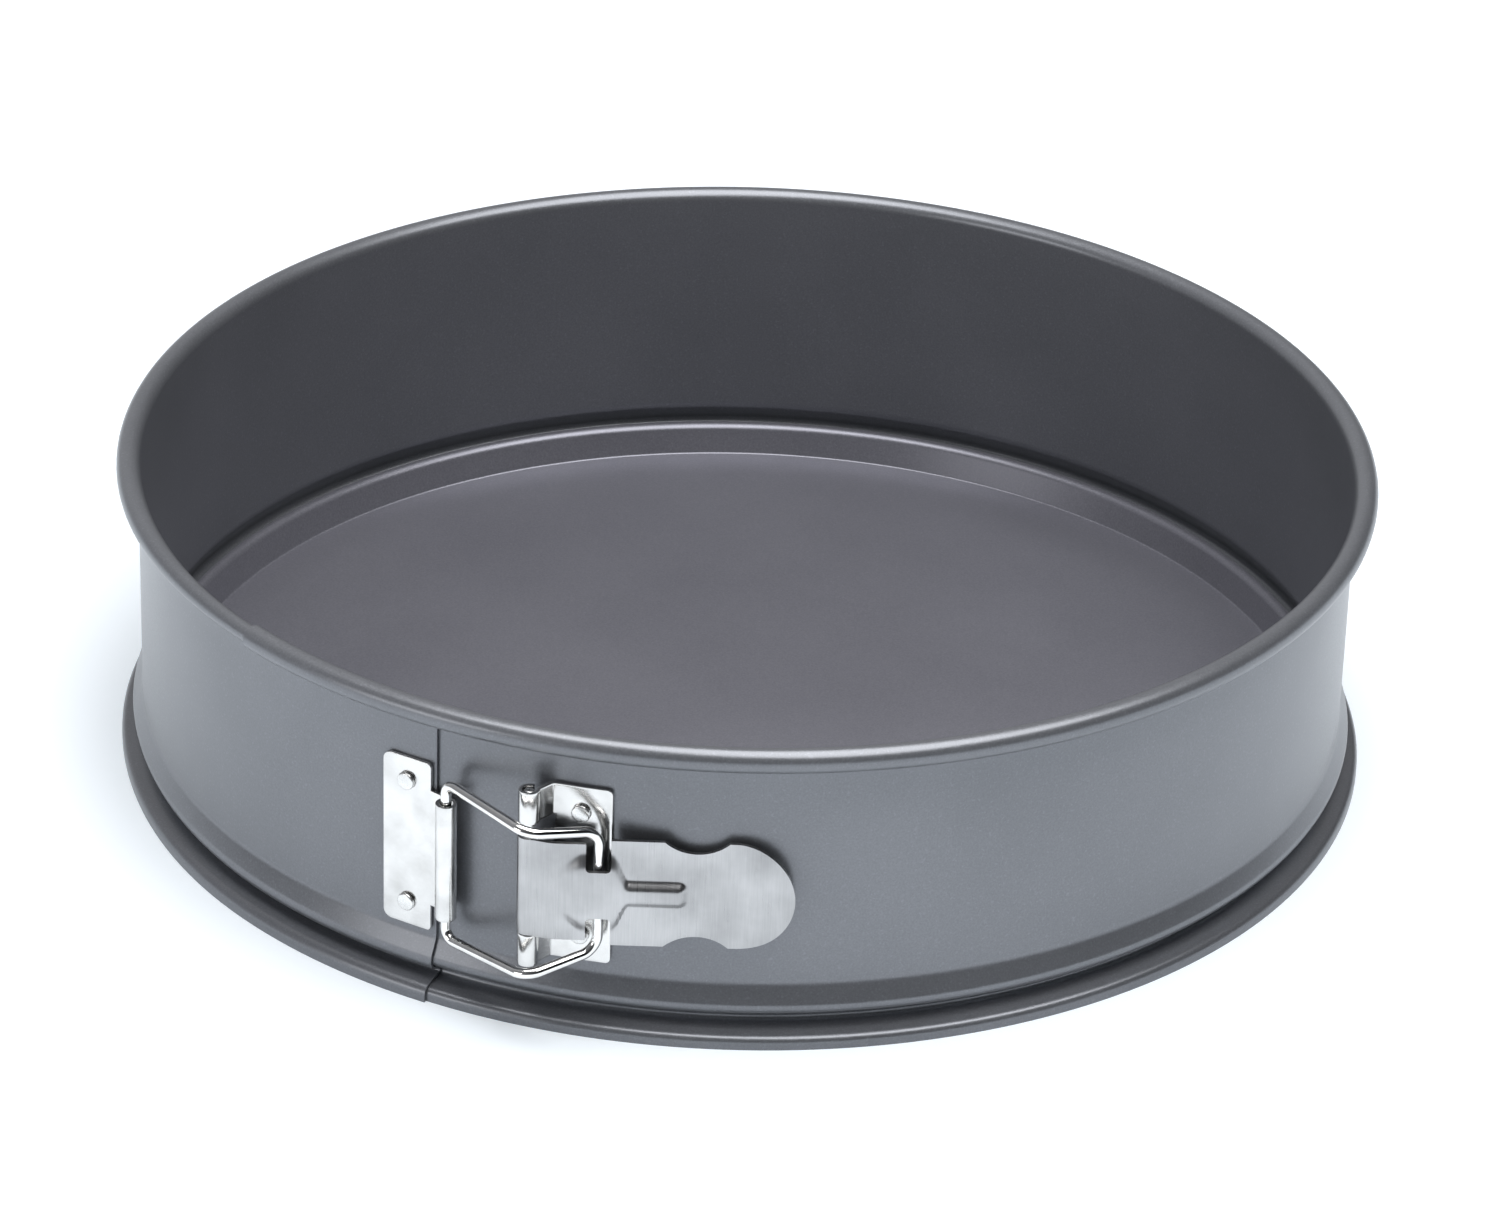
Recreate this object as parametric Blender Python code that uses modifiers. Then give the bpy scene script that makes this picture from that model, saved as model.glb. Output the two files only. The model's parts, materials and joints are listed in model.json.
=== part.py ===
"""Springform pan: a wrapped steel band with a lift-out base and a lever clasp.

Every length is in metres. +Z is up, the pan rests on z = 0 and its axis is the Z axis.
The clasp is at the front, on the -Y side, and its lever lies along X when it is shut.
"""

import math

import bmesh
import bpy
from mathutils import Matrix, Vector

for old_object in list(bpy.data.objects):
    bpy.data.objects.remove(old_object, do_unlink=True)

MM = 0.001

# ---------------------------------------------------------------- sizes that drive the rest
inside_diameter = 260 * MM
total_height = 68 * MM
band_sheet = 0.5 * MM
base_sheet = 0.6 * MM
plate_sheet = 0.8 * MM
lever_sheet = 0.9 * MM
wire_diameter = 2.2 * MM
pin_diameter = 2.2 * MM
steps_per_turn = 80

running_gap = 0.3 * MM      # between pieces that move on each other
seat_gap = 0.1 * MM         # between pieces that are riveted together
lap_gap = 0.2 * MM          # between the two layers of the band where its ends overlap

# Places round the wall are arc lengths along it from the front line, negative to the left.
outer_end_arc = -62 * MM
inner_end_arc = -110 * MM
catch_plate_arc = -68.4 * MM
hinge_plate_arc = -30.8 * MM

# ---------------------------------------------------------------- the band's cross-section
wall_middle = inside_diameter / 2 + band_sheet / 2
wall_outside = inside_diameter / 2 + band_sheet
skirt_reach = 4.65 * MM
lip_bend = 1.3 * MM
waist_depth = 1.45 * MM
waist_bend = 1.3 * MM
waist_height = 4.6 * MM
bead_reach = 2.15 * MM
bead_bend = 1.75 * MM
bead_height = 8.3 * MM
bead_top = 13.8 * MM
bead_fade = 1.6 * MM        # below its top, where the bead has all but met the wall
curl_radius = 2.3 * MM
lap_offset = band_sheet + lap_gap
lap_fade_arc = 70 * MM      # how far beyond the overlap the outer layer comes back in line

# ---------------------------------------------------------------- the base
floor_height = 1.6 * MM     # underside of the floor
ridge_width = 2.2 * MM      # the rim of the base is level with the groove inside the bead
ridge_slope_width = 2.7 * MM
ridge_foot_bend = 0.9 * MM
ridge_crown_bend = 1.7 * MM
base_edge_gap = 0.4 * MM    # between the edge of the base and the wall

# ---------------------------------------------------------------- the clasp
hinge_plate_bottom = 15.6 * MM
hinge_plate_height = 40 * MM
hinge_plate_width = 12.8 * MM
knuckle_height = 7.2 * MM
pin_stand_off = 4.1 * MM    # pin axis above the middle of the hinge plate's sheet
pin_beyond_plate = 3.3 * MM
pin_end_inset = 0.2 * MM    # ends of the pin inside the ends of its knuckles
web_inset = 1.0 * MM        # where the hinge plate leaves the wall, inside its left side
web_bend_run = 0.9 * MM
web_bend_rise = 0.5 * MM
knuckle_roll = (-20, 285)   # degrees round the pin, from the direction along the wall
lever_hinge_height = 22.1 * MM
catch_plate_height = 38.7 * MM
catch_plate_width = 11.4 * MM
barrel_height = 26.6 * MM
barrel_rise = 0.8 * MM
barrel_beyond_plate = 5.1 * MM
barrel_roll = (-90, 205)    # degrees round the bail's wire
rivet_spacing = 28.1 * MM
rivet_shank = 2.4 * MM
rivet_head = 3.9 * MM
rivet_head_height = 0.9 * MM
rivet_rim_height = 0.2 * MM   # upright edge of the head, below its dome
cut_margin = 1 * MM         # how far a hole's cutter runs past the sheets it goes through

lever_stand_off = 1.55 * MM   # middle of the lever's sheet outside the front of the wall
lever_roll = (20, 256)        # degrees round the pin
lever_lead_in = 6 * MM        # length over which the roll comes down to the flat
seat_reach = 14 * MM          # from the pin to the wire's seat behind the neck
notch_width = 5.0 * MM
neck_height = 10.6 * MM
neck_margin = 0.2 * MM        # how far the neck's bulge runs past its sides, and past the wire
bulge_run = 4 * MM            # length over which the bulge rises before the neck
rib_run = 3 * MM              # length over which the bulge narrows to the rib
handle_height = 24 * MM
handle_shoulder = 10.6 * MM   # straight part of the handle next to the notches
scallop_width = 12.9 * MM
scallop_depth = 2.5 * MM
tip_shoulder = 1.2 * MM       # straight part between the scallops and the round tip
tip_lift = 1.4 * MM
rib_half_width = 2.6 * MM
rib_side = 1.6 * MM           # width of the slope down each side of the rib
rib_length = 19 * MM

bail_height_at_barrel = 36.2 * MM
bail_height_at_arch = 32.8 * MM
bail_height_at_seat = 27.2 * MM
bail_arch_reach = 9.3 * MM    # arch of the bail outside the pin
bail_bends = [2.6 * MM, 4.5 * MM, 4.0 * MM]   # at the barrel, the arch and the seat


def angle_at(arc):
    """Angle round the wall of an arc length measured along its outside."""
    return arc / wall_outside


def on_circle(radius, angle, height):
    """Point at an angle from the front line, positive to the right."""
    return Vector((radius * math.sin(angle), -radius * math.cos(angle), height))


def arc_points(centre, radius, start, end, count):
    """Points on an arc in an outline, angles in degrees from the first axis."""
    angles = [math.radians(start + (end - start) * i / (count - 1)) for i in range(count)]
    return [(centre[0] + radius * math.cos(a), centre[1] + radius * math.sin(a)) for a in angles]


def smooth(value):
    """Ease from 0 to 1, flat at both ends."""
    value = min(1.0, max(0.0, value))
    return value * value * (3 - 2 * value)


def outline_normals(outline):
    """Normal at each point of an open outline, on the right of its direction."""
    normals = []
    for i in range(len(outline)):
        before = Vector(outline[max(i - 1, 0)])
        here = Vector(outline[i])
        after = Vector(outline[min(i + 1, len(outline) - 1)])
        sides = [step.normalized() for step in (here - before, after - here) if step.length > 0]
        along = (sides[0] + sides[-1]).normalized()
        stretch = 1 / along.dot(sides[0])
        normals.append(Vector((along.y, -along.x)) * stretch)
    return normals


# ---------------------------------------------------------------- scene helpers
pan = bpy.data.collections.new("springform_pan")
cutters = bpy.data.collections.new("cutters")
bpy.context.scene.collection.children.link(pan)
bpy.context.scene.collection.children.link(cutters)


def make_material(name, colour, metallic, roughness):
    material = bpy.data.materials.new(name)
    material.use_nodes = True
    shader = material.node_tree.nodes["Principled BSDF"]
    shader.inputs["Base Color"].default_value = (*colour, 1)
    shader.inputs["Metallic"].default_value = metallic
    shader.inputs["Roughness"].default_value = roughness
    return material


def add_object(name, data, material, origin=Vector((0, 0, 0)), smooth_angle=30):
    """Put mesh or curve data in the pan's collection with its origin at a chosen point."""
    data.name = name
    data.transform(Matrix.Translation(-origin))
    data.materials.append(material)
    piece = bpy.data.objects.new(name, data)
    piece.location = origin
    pan.objects.link(piece)
    if isinstance(data, bpy.types.Mesh):
        data.shade_smooth()
        data.set_sharp_from_angle(angle=math.radians(smooth_angle))
    return piece


def add_cut(piece, cutter):
    """Cut a cutter's shape out of a piece, and keep the cutter out of renders."""
    cutter.hide_render = True
    cutter.display_type = "WIRE"
    if not cutter.users_collection:
        cutters.objects.link(cutter)
    cut = piece.modifiers.new(cutter.name, "BOOLEAN")
    cut.object = cutter
    cut.operation = "DIFFERENCE"
    cut.solver = "EXACT"


def box_between(name, low, high):
    """Box object with two opposite corners at low and high."""
    mesh = bpy.data.meshes.new(name)
    box = bmesh.new()
    bmesh.ops.create_cube(box, size=1)
    for vertex in box.verts:
        for axis in range(3):
            middle = (low[axis] + high[axis]) / 2
            vertex.co[axis] = middle + vertex.co[axis] * (high[axis] - low[axis])
    box.to_mesh(mesh)
    box.free()
    return bpy.data.objects.new(name, mesh)


def add_solidify(piece, thickness):
    solidify = piece.modifiers.new("sheet", "SOLIDIFY")
    solidify.thickness = thickness
    solidify.offset = 0
    solidify.use_even_offset = True


def sheet_mesh(columns, rows, place, keep=None):
    """A flat grid of sheet moved to place(column, row), less the faces that keep() refuses."""
    mesh = bpy.data.meshes.new("sheet")
    grid = bmesh.new()
    bmesh.ops.create_grid(grid, x_segments=columns - 1, y_segments=rows - 1, size=1)
    position = {}
    for vertex in grid.verts:
        column = round((vertex.co.x + 1) / 2 * (columns - 1))
        row = round((vertex.co.y + 1) / 2 * (rows - 1))
        position[vertex] = (column, row)
    if keep:
        refused = []
        for face in grid.faces:
            column = min(position[vertex][0] for vertex in face.verts)
            row = min(position[vertex][1] for vertex in face.verts)
            if not keep(column, row):
                refused.append(face)
        bmesh.ops.delete(grid, geom=refused, context="FACES")
    for vertex in grid.verts:
        vertex.co = place(*position[vertex])
    grid.to_mesh(mesh)
    grid.free()
    return mesh


def lathe_mesh(outline, steps):
    """Mesh of an outline of (radius, height) points, lowest first, turned round the Z axis."""
    mesh = bpy.data.meshes.new("outline")
    points = [(radius, 0, height) for radius, height in reversed(outline)]
    edges = [(i, i + 1) for i in range(len(points) - 1)]
    mesh.from_pydata(points, edges, [])
    turned = bpy.data.objects.new("turned", mesh)
    bpy.context.scene.collection.objects.link(turned)
    screw = turned.modifiers.new("turn", "SCREW")
    screw.steps = steps
    screw.render_steps = steps
    screw.use_merge_vertices = True
    screw.merge_threshold = 0.01 * MM
    depsgraph = bpy.context.evaluated_depsgraph_get()
    result = bpy.data.meshes.new_from_object(turned.evaluated_get(depsgraph))
    bpy.data.objects.remove(turned, do_unlink=True)
    bpy.data.meshes.remove(mesh)
    return result


class WallFrame:
    """Flat frame on the wall: u runs to the right along it, v outward, height is up."""

    def __init__(self, arc):
        self.angle = angle_at(arc)

    def point(self, u, v, height):
        across = Vector((math.cos(self.angle), math.sin(self.angle), 0))
        outward = Vector((math.sin(self.angle), -math.cos(self.angle), 0))
        return across * u + outward * v + Vector((0, 0, height))

    def turn(self):
        """Rotation that takes Z to the outward direction."""
        outward = Vector((math.sin(self.angle), -math.cos(self.angle), 0))
        return outward.to_track_quat("Z", "Y").to_matrix().to_4x4()


# ---------------------------------------------------------------- places worked out from sizes
outer_end = angle_at(outer_end_arc)
inner_end = angle_at(inner_end_arc)
catch_frame = WallFrame(catch_plate_arc)
hinge_frame = WallFrame(hinge_plate_arc)

catch_back = wall_outside + lap_offset + seat_gap
catch_middle = catch_back + plate_sheet / 2
hinge_back = wall_outside + seat_gap
hinge_middle = hinge_back + plate_sheet / 2

wire_radius = wire_diameter / 2
pin_radius = pin_diameter / 2
barrel_radius = wire_radius + running_gap + plate_sheet / 2
knuckle_radius = pin_radius + running_gap + plate_sheet / 2
lever_roll_radius = pin_radius + running_gap + lever_sheet / 2

barrel_u = catch_plate_width / 2 + barrel_beyond_plate
barrel_v = catch_middle + barrel_rise + barrel_radius
pin_u = -hinge_plate_width / 2 - pin_beyond_plate
pin_v = hinge_middle + pin_stand_off
bail_axis = catch_frame.point(barrel_u, barrel_v, 0)
pin_axis = hinge_frame.point(pin_u, pin_v, 0)

lever_bottom = hinge_plate_bottom + knuckle_height + running_gap
clasp_height = lever_bottom + lever_hinge_height / 2
hinge_height = hinge_plate_bottom + hinge_plate_height / 2
lever_plane = -(wall_outside + lever_stand_off)
seat_x = pin_axis.x + seat_reach
neck_bulge = wire_diameter / 2 + neck_margin
seat_y = lever_plane - neck_bulge + lever_sheet / 2 + running_gap + wire_radius

# ---------------------------------------------------------------- materials
coating = make_material("non_stick_coating", (0.19, 0.2, 0.22), 0.6, 0.4)
base_coating = make_material("base_coating", (0.13, 0.13, 0.14), 0.6, 0.42)
nickel = make_material("nickel_plate", (0.72, 0.72, 0.7), 1.0, 0.2)
lever_nickel = make_material("lever_plate", (0.66, 0.66, 0.65), 1.0, 0.28)
wire_nickel = make_material("wire_plate", (0.75, 0.75, 0.74), 1.0, 0.15)
rivet_nickel = make_material("rivet_plate", (0.7, 0.7, 0.69), 1.0, 0.25)


# ---------------------------------------------------------------- band
def band_outline():
    """Middle line of the band's sheet, from the lip of the skirt up to the end of the curl."""
    lip = wall_middle + skirt_reach
    waist = wall_middle - waist_depth
    bead = wall_middle + bead_reach
    curl_centre = (wall_middle + curl_radius, total_height - band_sheet / 2 - curl_radius)
    outline = [(lip, 0)]
    outline += arc_points((lip - lip_bend, lip_bend), lip_bend, 0, 78, 3)
    outline += arc_points((waist + waist_bend, waist_height), waist_bend, 250, 110, 4)
    outline += arc_points((bead - bead_bend, bead_height), bead_bend, -65, 40, 5)
    outline += [(wall_middle + 0.15 * bead_reach, bead_top - bead_fade)]
    outline += [(wall_middle, bead_top)]
    outline += arc_points(curl_centre, curl_radius, 180, -120, 10)
    return outline


def band_columns():
    """Angles of the band's columns, once round from its outer end and on under it.

    Both layers of the overlap have columns at the same angles, so their facets are parallel.
    """
    step = 2 * math.pi / steps_per_turn
    fixed = [outer_end, inner_end, catch_frame.angle, hinge_frame.angle]
    even = [-k * step for k in range(steps_per_turn)]
    clear = [a for a in even if all(abs(math.remainder(a - f, 2 * math.pi)) > 0.3 * step for f in fixed)]
    last = inner_end - 2 * math.pi
    angles = [a + turn for a in clear + fixed for turn in (-2 * math.pi, 0)]
    angles = [a for a in angles if last - 1e-6 <= a <= outer_end + 1e-6]
    return sorted(angles, reverse=True)


def lap_shift(angle):
    """How far the band stands outside its own inner layer at an angle along it."""
    beyond = inner_end - angle
    return lap_offset * (1 - smooth(beyond / angle_at(lap_fade_arc)))


outline = band_outline()
normals = outline_normals(outline)
columns = band_columns()


def band_point(column, row):
    shift = lap_shift(columns[column])
    point = Vector(outline[row]) + normals[row] * shift
    return on_circle(point.x, columns[column], max(point.y, 0))


band = add_object("band", sheet_mesh(len(columns), len(outline), band_point), coating)
add_solidify(band, band_sheet)


# ---------------------------------------------------------------- base
def base_outline():
    """Middle line of the base's sheet, from its centre out to its edge."""
    edge = inside_diameter / 2 - base_edge_gap
    floor_middle = floor_height + base_sheet / 2
    ridge_middle = bead_height
    ridge_inside = edge - ridge_width
    slope_foot = ridge_inside - ridge_slope_width
    lean = math.degrees(math.atan2(ridge_slope_width, ridge_middle - floor_middle))
    points = [(0, floor_middle)]
    points += arc_points((slope_foot, floor_middle + ridge_foot_bend), ridge_foot_bend, -90, -lean, 4)
    points += arc_points((ridge_inside + ridge_crown_bend, ridge_middle - ridge_crown_bend),
                         ridge_crown_bend, 180 - lean, 90, 5)
    points += [(edge, ridge_middle)]
    return points


base = add_object("base_plate", lathe_mesh(base_outline(), steps_per_turn), base_coating)
add_solidify(base, base_sheet)


# ---------------------------------------------------------------- catch plate
def catch_outline():
    """The catch plate seen from above: flat on the band, then rolled round the bail's wire."""
    left = -catch_plate_width / 2
    right = catch_plate_width / 2
    points = [(left, catch_middle), (right, catch_middle)]
    points += arc_points((barrel_u, barrel_v), barrel_radius, *barrel_roll, 11)
    return points


catch_path = catch_outline()
catch_rows = [
    clasp_height - catch_plate_height / 2,
    clasp_height - barrel_height / 2,
    clasp_height + barrel_height / 2,
    clasp_height + catch_plate_height / 2,
]


def catch_point(column, row):
    return catch_frame.point(*catch_path[column], catch_rows[row])


catch_mesh = sheet_mesh(len(catch_path), len(catch_rows), catch_point,
                        lambda column, row: column == 0 or row == 1)
catch_plate = add_object("catch_plate", catch_mesh, nickel)
add_solidify(catch_plate, plate_sheet)


# ---------------------------------------------------------------- hinge plate
def hinge_outline():
    """The hinge plate from above: flat on the band, out along a web, rolled round the pin."""
    right = hinge_plate_width / 2
    web_foot = -hinge_plate_width / 2 + web_inset
    points = [(right, hinge_middle), (web_foot, hinge_middle)]
    points += [(web_foot - web_bend_run, hinge_middle + web_bend_rise)]
    points += arc_points((pin_u, pin_v), knuckle_radius, *knuckle_roll, 11)
    return points


hinge_path = hinge_outline()
hinge_rows = [
    hinge_plate_bottom,
    hinge_plate_bottom + knuckle_height,
    hinge_plate_bottom + hinge_plate_height - knuckle_height,
    hinge_plate_bottom + hinge_plate_height,
]


def hinge_point(column, row):
    return hinge_frame.point(*hinge_path[column], hinge_rows[row])


hinge_mesh = sheet_mesh(len(hinge_path), len(hinge_rows), hinge_point,
                        lambda column, row: column == 0 or row != 1)
hinge_plate = add_object("hinge_plate", hinge_mesh, nickel)
add_solidify(hinge_plate, plate_sheet)

# ---------------------------------------------------------------- hinge pin
pin_length = hinge_plate_height - 2 * pin_end_inset
pin_outline = [(0, 0), (pin_radius, 0), (pin_radius, pin_length), (0, pin_length)]
pin_mesh = lathe_mesh(pin_outline, 12)
pin_mesh.transform(Matrix.Translation(pin_axis + Vector((0, 0, hinge_height - pin_length / 2))))
hinge_pin = add_object("hinge_pin", pin_mesh, rivet_nickel, pin_axis)


# ---------------------------------------------------------------- rivets and their holes
def add_rivet(name, frame, height, inner_face, hole_start, plate_face, holed):
    """A dome-headed rivet through a plate and one layer of the band, flush on the inside."""
    shank = rivet_shank / 2
    head = rivet_head / 2
    seat = plate_face + seat_gap
    dome_height = rivet_head_height - rivet_rim_height
    outline_points = [(0, inner_face), (shank, inner_face), (shank, seat), (head, seat)]
    for across, rise in arc_points((0, 0), 1, 0, 90, 5):
        outline_points.append((across * head, seat + rivet_rim_height + rise * dome_height))
    place = Matrix.Translation((0, 0, height)) @ frame.turn()
    mesh = lathe_mesh(outline_points, 14)
    mesh.transform(place)
    add_object(name, mesh, rivet_nickel)

    hole_outline = [
        (0, hole_start),
        (shank + running_gap, hole_start),
        (shank + running_gap, plate_face + cut_margin),
        (0, plate_face + cut_margin),
    ]
    hole = bpy.data.objects.new(name + "_hole", lathe_mesh(hole_outline, 14))
    hole.data.transform(place)
    for piece in holed:
        add_cut(piece, hole)


# The catch plate's holes stop in the gap between the band's layers, so the inner one is whole.
outer_layer_face = wall_outside + lap_gap
inner_layer_face = wall_outside - band_sheet
catch_hole_start = wall_outside + 0.35 * lap_gap
for label, side in (("upper", 1), ("lower", -1)):
    shift = side * rivet_spacing / 2
    add_rivet("catch_rivet_" + label, catch_frame, clasp_height + shift, outer_layer_face,
              catch_hole_start, catch_back + plate_sheet, [catch_plate, band])
    add_rivet("hinge_rivet_" + label, hinge_frame, hinge_height + shift, inner_layer_face,
              inner_layer_face - cut_margin, hinge_back + plate_sheet, [hinge_plate, band])


# ---------------------------------------------------------------- bail
def rounded_loop(corners, bends, count):
    """Closed path through corners, each rounded with its own bend radius."""
    path = []
    total = len(corners)
    for i in range(total):
        here = corners[i]
        back = (corners[i - 1] - here).normalized()
        ahead = (corners[(i + 1) % total] - here).normalized()
        half = back.angle(ahead) / 2
        centre = here + (back + ahead).normalized() * (bends[i] / math.sin(half))
        start = here + back * (bends[i] / math.tan(half)) - centre
        end = here + ahead * (bends[i] / math.tan(half)) - centre
        sweep = start.angle(end)
        for k in range(count):
            part = k / (count - 1)
            weight_start = math.sin((1 - part) * sweep) / math.sin(sweep)
            weight_end = math.sin(part * sweep) / math.sin(sweep)
            path.append(centre + start * weight_start + end * weight_end)
    return path


def bail_corners():
    """Corners of the bail's wire: up through the barrel, over the pin, down behind the neck."""
    barrel = bail_axis.xy
    arch = Vector((pin_axis.x, pin_axis.y - bail_arch_reach))
    seat = Vector((seat_x, seat_y))
    stations = [(barrel, bail_height_at_barrel), (arch, bail_height_at_arch),
                (seat, bail_height_at_seat)]
    upper = [Vector((*place, clasp_height + height / 2)) for place, height in stations]
    lower = [Vector((*place, clasp_height - height / 2)) for place, height in stations]
    return upper + lower[::-1]


bail_path = rounded_loop(bail_corners(), bail_bends + bail_bends[::-1], 6)
bail_curve = bpy.data.curves.new("bail", "CURVE")
bail_curve.dimensions = "3D"
bail_curve.bevel_depth = wire_radius
bail_curve.bevel_resolution = 2
wire = bail_curve.splines.new("POLY")
wire.points.add(len(bail_path) - 1)
for point, place in zip(wire.points, bail_path):
    point.co = (*place, 1)
wire.use_cyclic_u = True
bail = add_object("bail", bail_curve, wire_nickel, bail_axis)


# ---------------------------------------------------------------- lever
roll_end = math.radians(lever_roll[0])
roll_leave = math.radians(lever_roll[1])
roll_steps = 9
notch_start = seat_x - notch_width / 2
notch_end = seat_x + notch_width / 2
scallop_start = notch_end + handle_shoulder
scallop_end = scallop_start + scallop_width
tip_radius = handle_height / 2
tip_centre = scallop_end + tip_shoulder
tip_end = tip_centre + tip_radius
lever_half = lever_hinge_height / 2


def lever_stations():
    """X of each column of the lever's flat part, from its roll to its tip."""
    first = pin_axis.x + 0.75 * lever_lead_in
    stations = [first, (first + notch_start) / 2, notch_start, seat_x, notch_end]
    stations += [notch_end + (scallop_start - notch_end) * i / 3 for i in (1, 2)]
    stations += [scallop_start + scallop_width * i / 6 for i in range(7)]
    for i in range(1, 9):
        turn = math.radians(90 * i / 8)
        stations.append(tip_centre + tip_radius * math.sin(turn) * (1 if i < 8 else 0.998))
    return stations


def lever_half_height(x):
    """Half the lever's height at a place along it."""
    if x <= scallop_start:
        widening = smooth((x - notch_start) / notch_width)
        return lever_half + (handle_height / 2 - lever_half) * widening
    if x < scallop_end:
        middle = (scallop_start + scallop_end) / 2
        chord = scallop_width / 2
        scallop_radius = (chord ** 2 + scallop_depth ** 2) / (2 * scallop_depth)
        rise = scallop_radius - scallop_depth
        return handle_height / 2 + rise - math.sqrt(scallop_radius ** 2 - (x - middle) ** 2)
    reach = max(0, x - tip_centre)
    return math.sqrt(tip_radius ** 2 - reach ** 2)


def lever_y(x, away):
    """Y of the middle of the lever's sheet; away is the distance from its middle line."""
    roll_y = pin_axis.y + lever_roll_radius * math.sin(roll_leave)
    roll_x = pin_axis.x + lever_roll_radius * math.cos(roll_leave)
    rise = smooth((x - roll_x) / lever_lead_in)
    y = roll_y + (lever_plane - roll_y) * rise
    along = smooth((x - notch_start + bulge_run) / bulge_run)
    along *= smooth((seat_x + rib_length - x) / bulge_run)
    into_rib = smooth((x - notch_end) / rib_run)
    full_width = neck_height / 2 + neck_margin
    full_width += (rib_half_width - full_width) * into_rib
    across = smooth((full_width + rib_side - away) / rib_side)
    y -= neck_bulge * along * across
    return y - tip_lift * smooth((x - tip_centre) / (tip_end - tip_centre))


stations = lever_stations()
lever_rows = [-1, -0.8, -0.5, -0.25, 0, 0.25, 0.5, 0.8, 1]


def lever_point(column, row):
    if column < roll_steps:
        turn = roll_end + (roll_leave - roll_end) * column / (roll_steps - 1)
        x = pin_axis.x + lever_roll_radius * math.cos(turn)
        y = pin_axis.y + lever_roll_radius * math.sin(turn)
        return Vector((x, y, clasp_height + lever_rows[row] * lever_half))
    x = stations[column - roll_steps]
    away = lever_rows[row] * lever_half_height(x)
    return Vector((x, lever_y(x, abs(away)), clasp_height + away))


lever_mesh = sheet_mesh(roll_steps + len(stations), len(lever_rows), lever_point)
lever = add_object("lever", lever_mesh, lever_nickel, pin_axis)
add_solidify(lever, lever_sheet)

for label, side in (("upper", 1), ("lower", -1)):
    shallow = clasp_height + side * neck_height / 2
    deep = clasp_height + side * handle_height
    reach = 2 * (neck_bulge + lever_sheet)
    low = (notch_start, lever_plane - reach, min(shallow, deep))
    high = (notch_end, lever_plane + reach, max(shallow, deep))
    add_cut(lever, box_between("notch_" + label, low, high))
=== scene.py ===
import json
import math

import bpy
from mathutils import Matrix, Vector


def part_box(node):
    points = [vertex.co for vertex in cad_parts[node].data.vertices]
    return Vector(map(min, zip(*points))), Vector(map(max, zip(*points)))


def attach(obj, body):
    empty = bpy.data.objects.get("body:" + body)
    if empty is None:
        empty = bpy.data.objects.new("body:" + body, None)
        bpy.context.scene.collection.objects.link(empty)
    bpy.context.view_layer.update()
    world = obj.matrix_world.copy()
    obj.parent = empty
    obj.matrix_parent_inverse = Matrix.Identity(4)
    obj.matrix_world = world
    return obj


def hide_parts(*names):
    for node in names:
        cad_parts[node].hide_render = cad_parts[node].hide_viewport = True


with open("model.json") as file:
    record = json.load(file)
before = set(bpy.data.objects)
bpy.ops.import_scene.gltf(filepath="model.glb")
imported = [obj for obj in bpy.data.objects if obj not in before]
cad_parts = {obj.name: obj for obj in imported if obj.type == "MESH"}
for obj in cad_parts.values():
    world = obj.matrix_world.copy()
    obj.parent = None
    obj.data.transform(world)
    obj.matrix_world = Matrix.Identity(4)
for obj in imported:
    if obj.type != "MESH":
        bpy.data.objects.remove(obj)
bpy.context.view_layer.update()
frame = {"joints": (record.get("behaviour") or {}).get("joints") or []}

mm = 0.001
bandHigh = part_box("band")[1]
baseLow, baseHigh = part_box("base_plate")
jointAt = {joint["name"]: Vector(joint["pos_m"]) for joint in frame["joints"] if "pos_m" in joint}
pinAxis = jointAt["lever_hinge"]
bailAxis = jointAt["bail_hinge"]
claspHeight = pinAxis.z
wallRadius = 130 * mm        # inside of the wall
touching = 0.01 * mm         # nearer than this is the same place
print("frame loaded")


cameraSettings = {
    "elevation": 28.31,      # degrees above the floor
    "roll": 1.76,            # degrees, the right side hangs lower
    "distance": 1.3573,
    "aimX": 0.0014,
    "aimZ": 0.0277,
    "lens": 149.66,
    "sensor": 36,            # mm wide
}


def addCamera(settings):
    tilt = math.radians(90 - settings["elevation"])
    turn = Matrix.Rotation(tilt, 4, "X") @ Matrix.Rotation(math.radians(settings["roll"]), 4, "Z")
    back = turn @ Vector((0, 0, settings["distance"]))
    place = Vector((settings["aimX"], 0, settings["aimZ"])) + back
    bpy.ops.object.camera_add(location=place)
    camera = bpy.context.object
    camera.matrix_world = Matrix.Translation(place) @ turn
    camera.data.lens = settings["lens"]
    camera.data.sensor_width = settings["sensor"]
    bpy.context.scene.camera = camera


addCamera(cameraSettings)
print("camera placed")


# helpers for modelling

def smooth(value):               # eases from 0 to 1
    value = min(1.0, max(0.0, value))
    return value * value * (3 - 2 * value)


def objectMode():
    if bpy.context.object and bpy.context.object.mode != "OBJECT":
        bpy.ops.object.mode_set(mode="OBJECT")


def deselectAll():
    objectMode()
    bpy.ops.object.select_all(action="DESELECT")


def selectAll():                     # in edit mode
    bpy.ops.mesh.select_all(action="SELECT")


def pickOnly(piece):
    deselectAll()
    bpy.context.view_layer.objects.active = piece
    piece.select_set(True)


def editOnly(piece):
    pickOnly(piece)
    bpy.ops.object.mode_set(mode="EDIT")


def applyPlace(piece):
    pickOnly(piece)
    bpy.ops.object.transform_apply(location=True, rotation=True, scale=True)


def applyModifiers(piece):
    pickOnly(piece)
    for name in [modifier.name for modifier in piece.modifiers]:
        bpy.ops.object.modifier_apply(modifier=name)


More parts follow.
